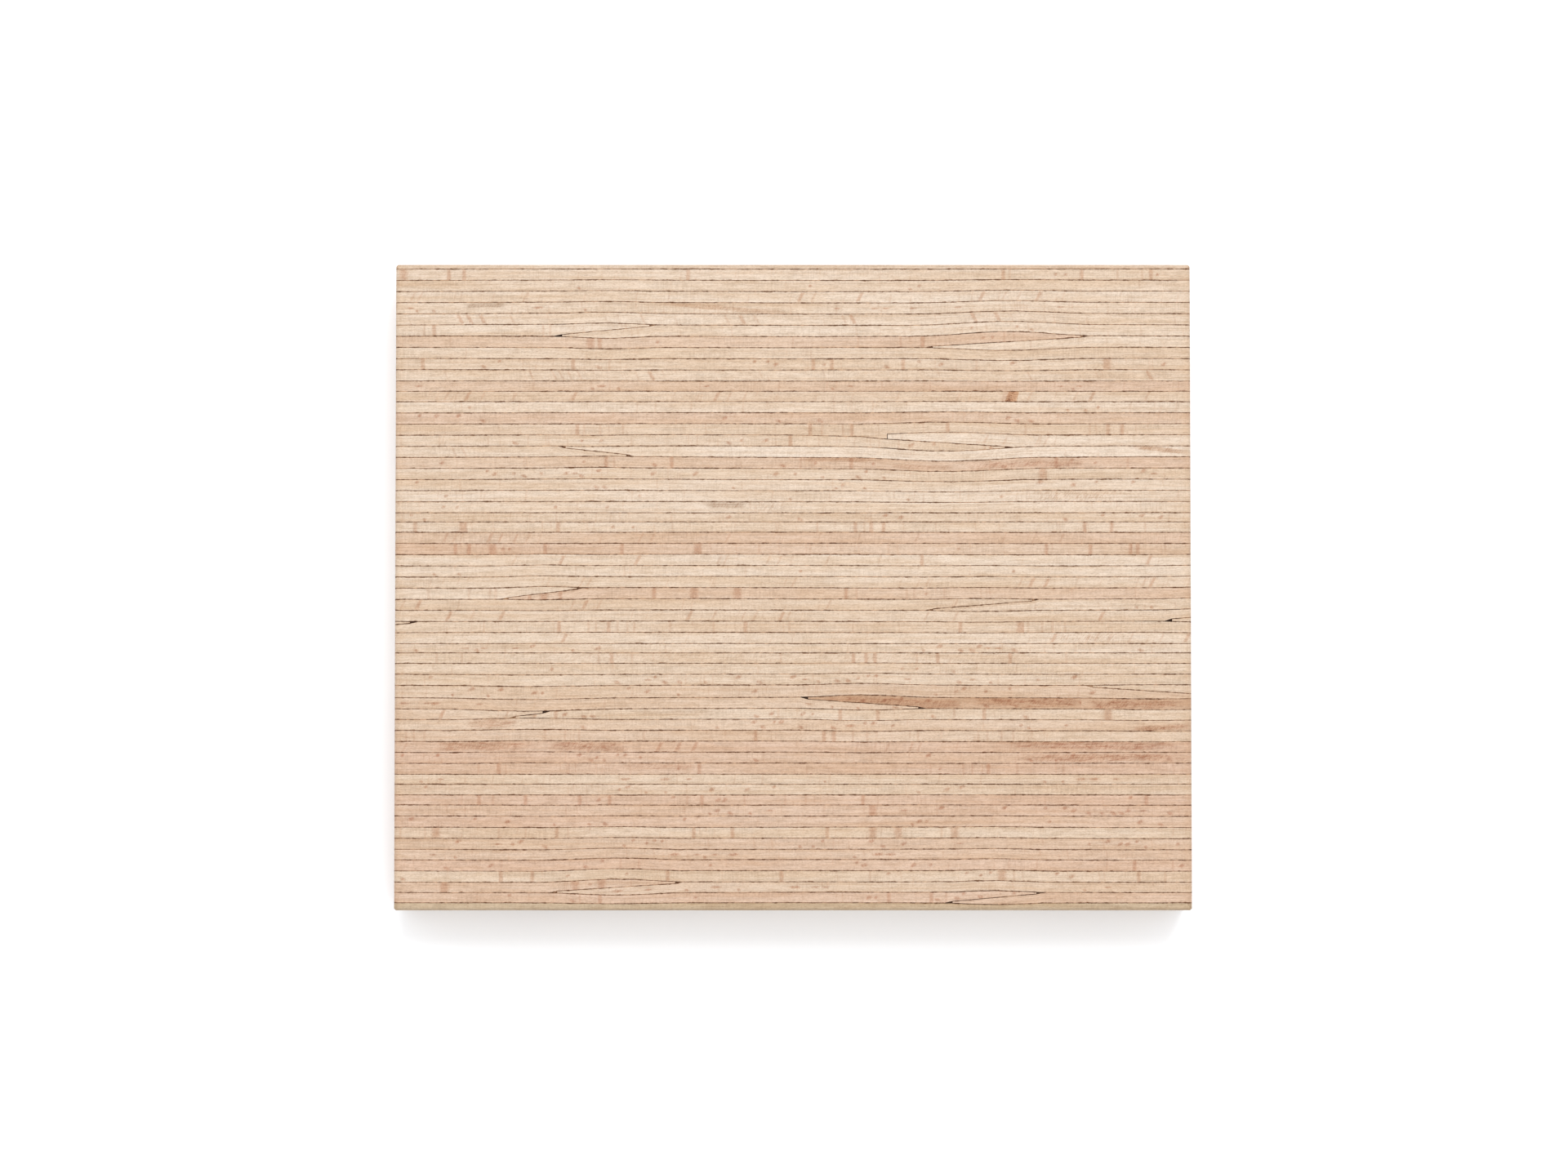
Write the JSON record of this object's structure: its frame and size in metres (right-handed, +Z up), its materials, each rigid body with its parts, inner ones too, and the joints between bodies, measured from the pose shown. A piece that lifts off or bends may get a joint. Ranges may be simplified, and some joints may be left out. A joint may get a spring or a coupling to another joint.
{
  "type": "glued beech panel",
  "caption": "Flat panel of thin beech veneers glued on edge, in lamellas side by side, with dark glue lines and lap joints; stock for boards, tops and solid parts.",
  "frame": {"origin": "middle of the resting face", "axes": "+X with the grain, +Y across the veneers towards the back edge, +Z up through the thickness"},
  "size_m": [0.21, 0.1704, 0.02],
  "materials": {
    "beech": "bare beech, finely sanded, not oiled",
    "resin": "hardened dark wood resin"
  },
  "bodies": {
    "root": {"lamella_1_veneers": "beech", "lamella_2_veneers": "beech", "lamella_3_veneers": "beech", "lamella_4_veneers": "beech", "lamella_5_veneers": "beech", "lamella_1_glue": "resin", "lamella_2_glue": "resin", "lamella_3_glue": "resin", "lamella_4_glue": "resin", "lamella_5_glue": "resin", "seam_glue": "resin"}
  },
  "joints": []
}
